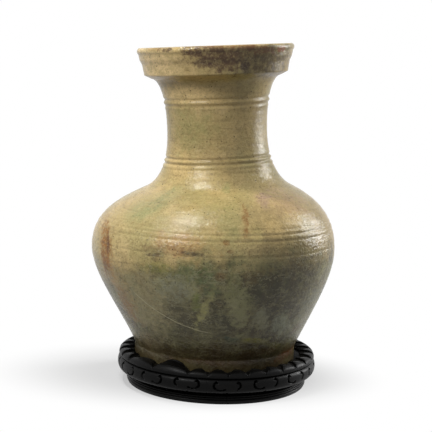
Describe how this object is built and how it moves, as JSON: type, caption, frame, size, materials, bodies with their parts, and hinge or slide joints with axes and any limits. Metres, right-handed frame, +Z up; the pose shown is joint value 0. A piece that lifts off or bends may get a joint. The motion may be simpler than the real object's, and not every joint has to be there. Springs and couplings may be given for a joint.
{
  "type": "hu vase on stand",
  "caption": "Baluster hu vase with a dished mouth, olive glaze and incised bands, standing in a round carved wooden stand it lifts out of.",
  "frame": {"origin": "on the floor under the middle of the vase's belly", "axes": "+Z up, -Y towards the viewer"},
  "size_m": [0.2662, 0.2662, 0.3741],
  "materials": {
    "glaze": "satin, finely crackled olive-buff ash glaze",
    "stained_wood": "semi-gloss, stained black"
  },
  "bodies": {
    "stand": {"base_arc_1": "stained_wood", "base_arc_2": "stained_wood", "base_arc_3": "stained_wood", "base_arc_4": "stained_wood", "apron_arc_1": "stained_wood", "apron_arc_2": "stained_wood", "apron_arc_3": "stained_wood", "apron_arc_4": "stained_wood", "rim_arc_1": "stained_wood", "rim_arc_2": "stained_wood", "rim_arc_3": "stained_wood", "rim_arc_4": "stained_wood", "seat_board": "stained_wood", "lower_peg_1": "stained_wood", "lower_peg_2": "stained_wood", "lower_peg_3": "stained_wood", "lower_peg_4": "stained_wood", "lower_peg_5": "stained_wood", "lower_peg_6": "stained_wood", "lower_peg_7": "stained_wood", "lower_peg_8": "stained_wood", "upper_peg_1": "stained_wood", "upper_peg_2": "stained_wood", "upper_peg_3": "stained_wood", "upper_peg_4": "stained_wood", "upper_peg_5": "stained_wood", "upper_peg_6": "stained_wood", "upper_peg_7": "stained_wood", "upper_peg_8": "stained_wood"},
    "vase": {"vase_body": "glaze"}
  },
  "joints": [
    {"name": "vase_lift", "type": "slide", "parent": "stand", "child": "vase", "axis": [0, 0, 1], "range_m": [0, 0.06]}
  ]
}
